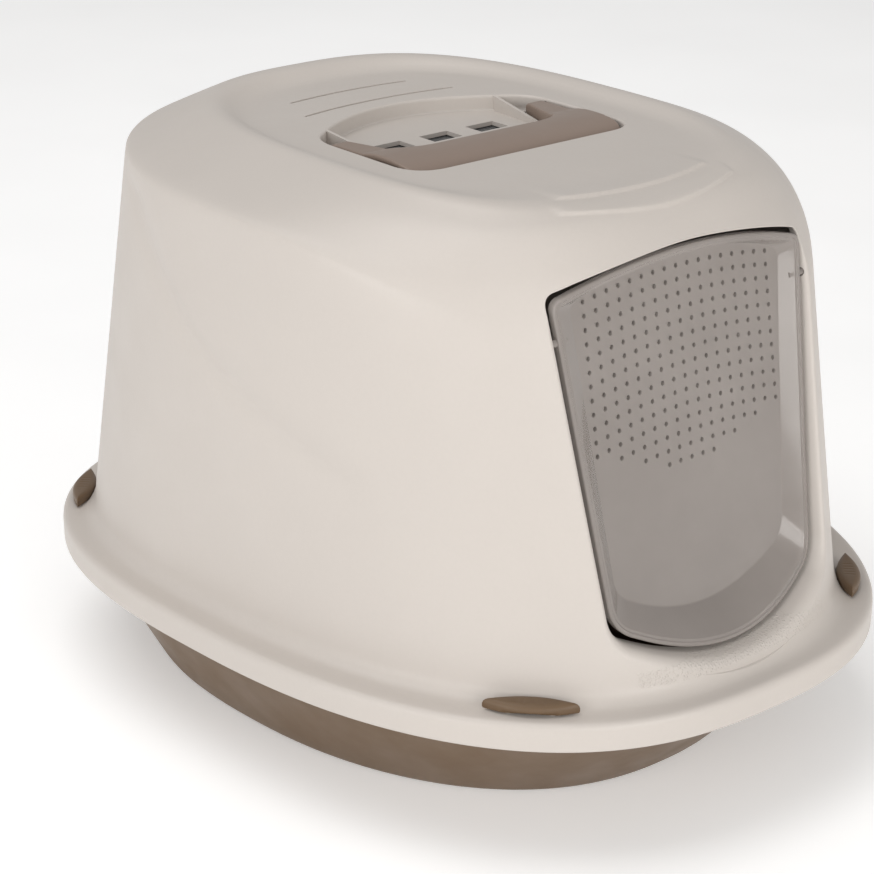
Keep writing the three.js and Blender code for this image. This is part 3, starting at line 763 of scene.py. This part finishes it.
def make_handle():
    """The handle: its plan and its side profile crossed, with pins and softened edges."""
    half, front, inner, arm, low = (HANDLE[k] for k in ("half", "front", "inner", "arm", "low"))
    y, z = HANDLE_AXIS
    corner = 18
    outline = np.vstack([
        line((-half, y + 5), (-half, front + corner), 12),
        curve((-half, front + corner), (-half, front), (corner - half, front), 14),
        line((corner - half, front), (half - corner, front), 30),
        curve((half - corner, front), (half, front), (half, front + corner), 14),
        line((half, front + corner), (half, y + 5), 12),
        line((half, y + 5), (half - 11, y + 5), 4),
        line((half - 11, y + 5), (half - arm, inner + 14), 8),
        curve((half - arm, inner + 14), (half - arm - 3, inner), (half - arm - 24, inner), 12),
        line((half - arm - 24, inner), (arm + 24 - half, inner), 24),
        curve((arm + 24 - half, inner), (arm + 3 - half, inner), (arm - half, inner + 14), 12),
        line((arm - half, inner + 14), (11 - half, y + 5), 8),
        line((11 - half, y + 5), (-half, y + 5), 4),
    ])
    profile = np.vstack([
        curve((front - 1, low - 1), (front + 1.5, low + 9.7), (inner - 11, low + 11.4), 16),
        curve((inner - 11, low + 11.4), (inner + 5, low + 12.2), (inner + 15, low + 8.8), 12),
        line((inner + 15, low + 8.8), (y + 1, low + 8.8), 4),
        line((y + 1, low + 8.8), (y + 4.3, z + 2), 3),
        line((y + 4.3, z + 2), (y + 4.3, z - 2), 3),
        line((y + 4.3, z - 2), (y + 1, low + 0.2), 3),
        line((y + 1, low + 0.2), (inner + 24, low + 0.2), 4),
        curve((inner + 24, low + 0.2), (inner + 8, low + 8), (inner - 12, low + 7.4), 12),
        curve((inner - 12, low + 7.4), (front + 7, low + 7), (front + 5, low - 1), 12),
        line((front + 5, low - 1), (front - 1, low - 1), 2),
    ])
    levels = [np.column_stack([outline, np.full(len(outline), float(z))]) for z in (low, low + 30)]
    plate = loft("carry_bar", levels, fan=False)
    ends = [np.column_stack([np.full(len(profile), float(x)), profile]) for x in (-half - 4, half + 4)]
    roll = loft("roll", ends, fan=False)
    boolean(plate, "INTERSECT", roll)
    pins = [rod("pin", *span(s, half - 6, half + 4), *HANDLE_AXIS, 2.6) for s in (-1, 1)]
    boolean(plate, "UNION", *pins)
    remeshed(plate, 0.8, 6)
    return plate


# ---------------------------------------------------------------- the filter and its holder


def make_filter_holder():
    """A tray for the pad, slotted underneath, with a hollow wing along each rail."""
    half, y, z, wall = (FILTER[k] for k in ("half", "y", "z", "wall"))
    seat_x, seat_y = FILTER["seat_half"], FILTER["seat_y"]
    holder = box("filter_frame", (-half, half), y, z)
    boolean(holder, "DIFFERENCE", box("seat", (-seat_x, seat_x), seat_y, (334.5, 343)))
    cutters = []
    for p in (-1.5, -0.5, 0.5, 1.5):
        cutters.append(box("slot", (34 * p - 13, 34 * p + 13), (-20, 52), (328, 335)))
    for side in (-1, 1):
        across = span(side, seat_x + wall, half - wall)
        cutters.append(box("wing", across, (y[0] + wall, y[1] - wall), (328, z[1] - wall)))
    boolean(holder, "DIFFERENCE", joined("slots", cutters))
    bevel = holder.modifiers.new("bevel", "BEVEL")
    bevel.width = 0.5 * MM
    bevel.segments = 2
    bevel.limit_method = "ANGLE"
    baked(holder)
    return shade(holder, 40)


def make_filter_pad():
    """A felt pad with soft edges and a slightly uneven face."""
    pad = box("felt_pad", (-70.5, 70.5), (-28, 60), (334.9, 341.9))
    remeshed(pad, 1.4, 4)
    rng = np.random.default_rng(7)
    waves = [(rng.uniform(0.05, 0.35, 2), rng.uniform(0, 6.28)) for _ in range(10)]
    for v in pad.data.vertices:
        x, y = v.co.x / MM, v.co.y / MM
        swell = sum(math.sin(k[0] * x + k[1] * y + p) for k, p in waves) * 0.035
        v.co.z += min(0, swell - 0.15) * MM
    return pad


# ---------------------------------------------------------------- a clip


def make_clip(name):
    """A clip: a hollow lens-shaped cap with grip grooves, a leg down through the rim, and two pins."""
    turn = clip_frame(name)
    profile = ((-0.35, 0), (0, 0.5), (0, 3.4), (-0.5, 4.6), (-1.6, 5.5), (-3.2, 6.05), (-5, 6.2))
    cap = loft("clip_cap_" + name, [lens(grow, z) for grow, z in profile])
    boolean(cap, "DIFFERENCE", box("hollow", (-13.5, 13.5), (-4.1, 3.4), (-1, 4.4)))
    boolean(cap, "DIFFERENCE", box("relief", (-27, 27), (-10, -4.6), (-1, 1.5)))
    legs = [box("leg", (-8, 8), (3.2, 5.4), (-9, 4.9))]
    legs += [rod("pin", *span(s, 10.3, 14.5), *CLIP_PIN_AXIS, 1.1, 16) for s in (-1, 1)]
    boolean(cap, "UNION", *legs)
    pitch, half_groove = 3.6, 0.5
    grips = []
    for p in (-2, -1, 0, 1, 2):
        across = (pitch * p - half_groove, pitch * p + half_groove)
        grips.append(box("grip", across, (-3.4, 3.4), (5.85, 8)))
    boolean(cap, "DIFFERENCE", joined("grips", grips))
    remeshed(cap, 0.45, 4)
    return placed(cap, turn)


# ---------------------------------------------------------------- materials


def node_material(name):
    material = bpy.data.materials.new(name)
    material.use_nodes = True
    nodes, links = material.node_tree.nodes, material.node_tree.links
    shader = nodes["Principled BSDF"]
    coords = nodes.new("ShaderNodeTexCoord")
    return material, nodes, links, shader, coords.outputs["Object"]


def noise(nodes, links, coords, scale, detail=3, rough=0.55):
    texture = nodes.new("ShaderNodeTexNoise")
    texture.inputs["Scale"].default_value = scale
    texture.inputs["Detail"].default_value = detail
    texture.inputs["Roughness"].default_value = rough
    links.new(coords, texture.inputs["Vector"])
    return texture.outputs["Fac"]


def ramp(nodes, links, value, stops):
    node = nodes.new("ShaderNodeValToRGB")
    elements = node.color_ramp.elements
    elements[0].position, elements[0].color = stops[0][0], (*stops[0][1], 1)
    elements[1].position, elements[1].color = stops[-1][0], (*stops[-1][1], 1)
    for position, colour in stops[1:-1]:
        elements.new(position).color = (*colour, 1)
    links.new(value, node.inputs["Fac"])
    return node.outputs["Color"]


def mapped(nodes, links, value, low, high, to_low, to_high):
    node = nodes.new("ShaderNodeMapRange")
    for key, number in zip(("From Min", "From Max", "To Min", "To Max"), (low, high, to_low, to_high)):
        node.inputs[key].default_value = number
    links.new(value, node.inputs["Value"])
    return node.outputs["Result"]


def bumped(nodes, links, shader, layers):
    """Stacks bumps on a shader: (height, strength, distance in metres)."""
    normal = None
    for height, strength, distance in layers:
        bump = nodes.new("ShaderNodeBump")
        bump.inputs["Strength"].default_value = strength
        bump.inputs["Distance"].default_value = distance
        links.new(height, bump.inputs["Height"])
        if normal is not None:
            links.new(normal, bump.inputs["Normal"])
        normal = bump.outputs["Normal"]
    links.new(normal, shader.inputs["Normal"])


def shift(colour, factor):
    return tuple(min(1, c * factor) for c in colour)


def moulded(name, colour, rough=(0.4, 0.52), grain=1.0, coat=0.0, wear=0.03):
    """Moulded plastic: faint flow marks in the colour, fine grain, and an uneven polish."""
    material, nodes, links, shader, coords = node_material(name)
    cloud = noise(nodes, links, coords, 5.5, 4)
    fleck = noise(nodes, links, coords, 420, 2)
    mix = nodes.new("ShaderNodeMixRGB")
    mix.inputs["Fac"].default_value = 0.25
    links.new(cloud, mix.inputs["Color1"])
    links.new(fleck, mix.inputs["Color2"])
    stops = [(0.3, shift(colour, 1 - wear)), (0.52, colour), (0.75, shift(colour, 1 + wear))]
    tint = ramp(nodes, links, mix.outputs["Color"], stops)
    links.new(tint, shader.inputs["Base Color"])
    polish = noise(nodes, links, coords, 26, 3)
    links.new(mapped(nodes, links, polish, 0.3, 0.7, *rough), shader.inputs["Roughness"])
    shader.inputs["IOR"].default_value = 1.48
    shader.inputs["Coat Weight"].default_value = coat
    shader.inputs["Coat Roughness"].default_value = 0.25
    fine = noise(nodes, links, coords, 1400, 2)
    slow = noise(nodes, links, coords, 60, 2)
    bumped(nodes, links, shader, [(slow, 0.25 * grain, 0.0003), (fine, 0.22 * grain, 0.00008)])
    return material


def sill_material(name, colour):
    """The hood's plastic, with a stippled patch on the sill under the flap."""
    material = moulded(name, colour)
    nodes, links = material.node_tree.nodes, material.node_tree.links
    shader = nodes["Principled BSDF"]
    coords = nodes["Texture Coordinate"].outputs["Object"]
    split = nodes.new("ShaderNodeSeparateXYZ")
    links.new(coords, split.inputs["Vector"])
    low = mapped(nodes, links, split.outputs["Z"], 0.1095, 0.1085, 0, 1)
    high = mapped(nodes, links, split.outputs["Z"], 0.099, 0.1005, 0, 1)
    fore = mapped(nodes, links, split.outputs["Y"], -0.2325, -0.2345, 0, 1)
    near = mapped(nodes, links, split.outputs["Y"], -0.252, -0.25, 0, 1)
    across = nodes.new("ShaderNodeMath")
    across.operation = "ABSOLUTE"
    links.new(split.outputs["X"], across.inputs[0])
    sides = mapped(nodes, links, across.outputs[0], 0.078, 0.074, 0, 1)
    patch = low
    for limit in (high, fore, near, sides):
        product = nodes.new("ShaderNodeMath")
        product.operation = "MULTIPLY"
        links.new(patch, product.inputs[0])
        links.new(limit, product.inputs[1])
        patch = product.outputs[0]
    dots = nodes.new("ShaderNodeTexVoronoi")
    dots.inputs["Scale"].default_value = 620
    links.new(coords, dots.inputs["Vector"])
    raised = mapped(nodes, links, dots.outputs["Distance"], 0.15, 0.55, 1, 0)
    height = nodes.new("ShaderNodeMath")
    height.operation = "MULTIPLY"
    links.new(raised, height.inputs[0])
    links.new(patch, height.inputs[1])
    bump = nodes.new("ShaderNodeBump")
    bump.inputs["Strength"].default_value = 0.5
    bump.inputs["Distance"].default_value = 0.0006
    links.new(height.outputs[0], bump.inputs["Height"])
    old = shader.inputs["Normal"].links[0].from_socket
    links.new(old, bump.inputs["Normal"])
    links.new(bump.outputs["Normal"], shader.inputs["Normal"])
    return material


def smoked(name):
    """Clear smoked plastic with faint scratches and dust."""
    material, nodes, links, shader, coords = node_material(name)
    haze = noise(nodes, links, coords, 14, 4)
    tint = ramp(nodes, links, haze, [(0.35, (0.35, 0.312, 0.286)), (0.65, (0.385, 0.345, 0.317))])
    links.new(tint, shader.inputs["Base Color"])
    polish = noise(nodes, links, coords, 90, 3)
    links.new(mapped(nodes, links, polish, 0.3, 0.7, 0.07, 0.16), shader.inputs["Roughness"])
    shader.inputs["IOR"].default_value = 1.5
    shader.inputs["Alpha"].default_value = 0.6
    shader.inputs["Coat Weight"].default_value = 0.4
    shader.inputs["Coat Roughness"].default_value = 0.05
    scratch = noise(nodes, links, coords, 300, 2)
    bumped(nodes, links, shader, [(scratch, 0.05, 0.00005)])
    return material


def felt(name):
    """Black carbon felt."""
    material, nodes, links, shader, coords = node_material(name)
    fibres = noise(nodes, links, coords, 900, 5, 0.7)
    tint = ramp(nodes, links, fibres, [(0.35, (0.018, 0.017, 0.017)), (0.7, (0.075, 0.07, 0.068))])
    links.new(tint, shader.inputs["Base Color"])
    links.new(mapped(nodes, links, fibres, 0.3, 0.7, 0.85, 1.0), shader.inputs["Roughness"])
    shader.inputs["Sheen Weight"].default_value = 0.3
    bumped(nodes, links, shader, [(fibres, 0.8, 0.0006)])
    return material


CREAM = (0.545, 0.50, 0.46)
TAUPE = (0.128, 0.078, 0.04)
# The cream plastic made darker and warmer: painted shade and warm bounce light for the handle, which sits in
# the pocket's shadow
PAINTED_SHADE_CREAM = (0.25, 0.188, 0.152)

cream = sill_material("cream_plastic", CREAM)
# The handle's material is the cream in painted shade, not a plastic of its own colour
greige = moulded("painted_shade_cream_plastic", PAINTED_SHADE_CREAM, (0.36, 0.48), 0.8)
taupe = moulded("taupe_plastic", TAUPE, (0.38, 0.55), 1.0, 0, 0.06)
smoke = smoked("smoked_plastic")
carbon = felt("carbon_felt")

# ---------------------------------------------------------------- the pieces


def finish_piece(piece, material, body, slot, *nodes):
    piece.data.materials.clear()
    piece.data.materials.append(material)
    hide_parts(*nodes)
    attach(piece, body)
    return piece


finish_piece(make_hood(), cream, "cover", "cream", "hood")
finish_piece(make_tray(), taupe, "base", "taupe", "tray")
finish_piece(make_flap(), smoke, "flap", "smoke", "door_flap")
# The handle is cream plastic; its darker, warmer colour is painted shade
finish_piece(make_handle(), greige, "handle", "greige", "carry_handle")
finish_piece(make_filter_holder(), taupe, "filter", "taupe", "filter_holder")
finish_piece(make_filter_pad(), carbon, "filter", "carbon", "filter_pad")
for clip_name in CLIP_NAMES:
    finish_piece(make_clip(clip_name), taupe, clip_name + "_clip", "taupe", "clip_" + clip_name)

# ---------------------------------------------------------------- floor, light and camera


def make_floor():
    far = 4000
    corners = [(-far, -far, 0), (far, -far, 0), (far, far, 0), (-far, far, 0)]
    floor = make_object("floor", corners, [[0, 1, 2, 3]])
    material, nodes, links, shader, coords = node_material("pale_floor")
    grain = noise(nodes, links, coords, 3, 3)
    tint = ramp(nodes, links, grain, [(0.3, (0.93, 0.928, 0.925)), (0.7, (0.96, 0.958, 0.955))])
    links.new(tint, shader.inputs["Base Color"])
    shader.inputs["Roughness"].default_value = 0.9
    shader.inputs["Specular IOR Level"].default_value = 0.1
    links.new(tint, shader.inputs["Emission Color"])
    shader.inputs["Emission Strength"].default_value = 0.27
    floor.data.materials.append(material)


def area_light(name, place, target, width, height, power, colour=(1, 1, 1)):
    light = bpy.data.lights.new(name, "AREA")
    light.shape = "RECTANGLE"
    light.size, light.size_y = width, height
    light.energy = power
    light.color = colour
    lamp = bpy.data.objects.new(name, light)
    bpy.context.scene.collection.objects.link(lamp)
    lamp.location = place
    lamp.rotation_euler = (Vector(target) - Vector(place)).to_track_quat("-Z", "Y").to_euler()


def make_world():
    world = bpy.data.worlds.new("studio")
    bpy.context.scene.world = world
    world.use_nodes = True
    background = world.node_tree.nodes["Background"]
    nodes, links = world.node_tree.nodes, world.node_tree.links
    coords = nodes.new("ShaderNodeTexCoord")
    split = nodes.new("ShaderNodeSeparateXYZ")
    links.new(coords.outputs["Generated"], split.inputs["Vector"])
    sky = ramp(nodes, links, split.outputs["Z"], [(0.05, (1, 0.992, 0.985)), (0.8, (0.62, 0.617, 0.614))])
    links.new(sky, background.inputs["Color"])
    background.inputs["Strength"].default_value = 0.6


def make_camera():
    azimuth, elevation = math.radians(-39.49), math.radians(22.37)
    right = Vector((math.cos(azimuth), math.sin(azimuth), 0))
    level = math.cos(elevation)
    back = Vector((math.sin(azimuth) * level, -math.cos(azimuth) * level, math.sin(elevation)))
    up = back.cross(right)
    camera = bpy.data.cameras.new("camera")
    camera.sensor_width = 36
    camera.lens = 95.68
    camera.clip_end = 50
    view = bpy.data.objects.new("camera", camera)
    bpy.context.scene.collection.objects.link(view)
    turn = Matrix((right, up, back)).transposed().to_4x4()
    view.matrix_world = Matrix.Translation((-0.8812, -1.0399, 0.7157)) @ turn
    bpy.context.scene.camera = view


make_floor()
make_world()
area_light("key", (-0.3, -2.7, 0.8), (0, 0, 0.25), 1.8, 1.2, 31, (1, 0.985, 0.965))
area_light("side", (-2.7, -0.5, 0.9), (0, 0, 0.2), 1.6, 1.4, 22)
area_light("top", (-0.7, 0.4, 2.8), (0, 0, 0.2), 2.0, 2.0, 30)
make_camera()
bpy.context.scene.view_settings.view_transform = "Standard"
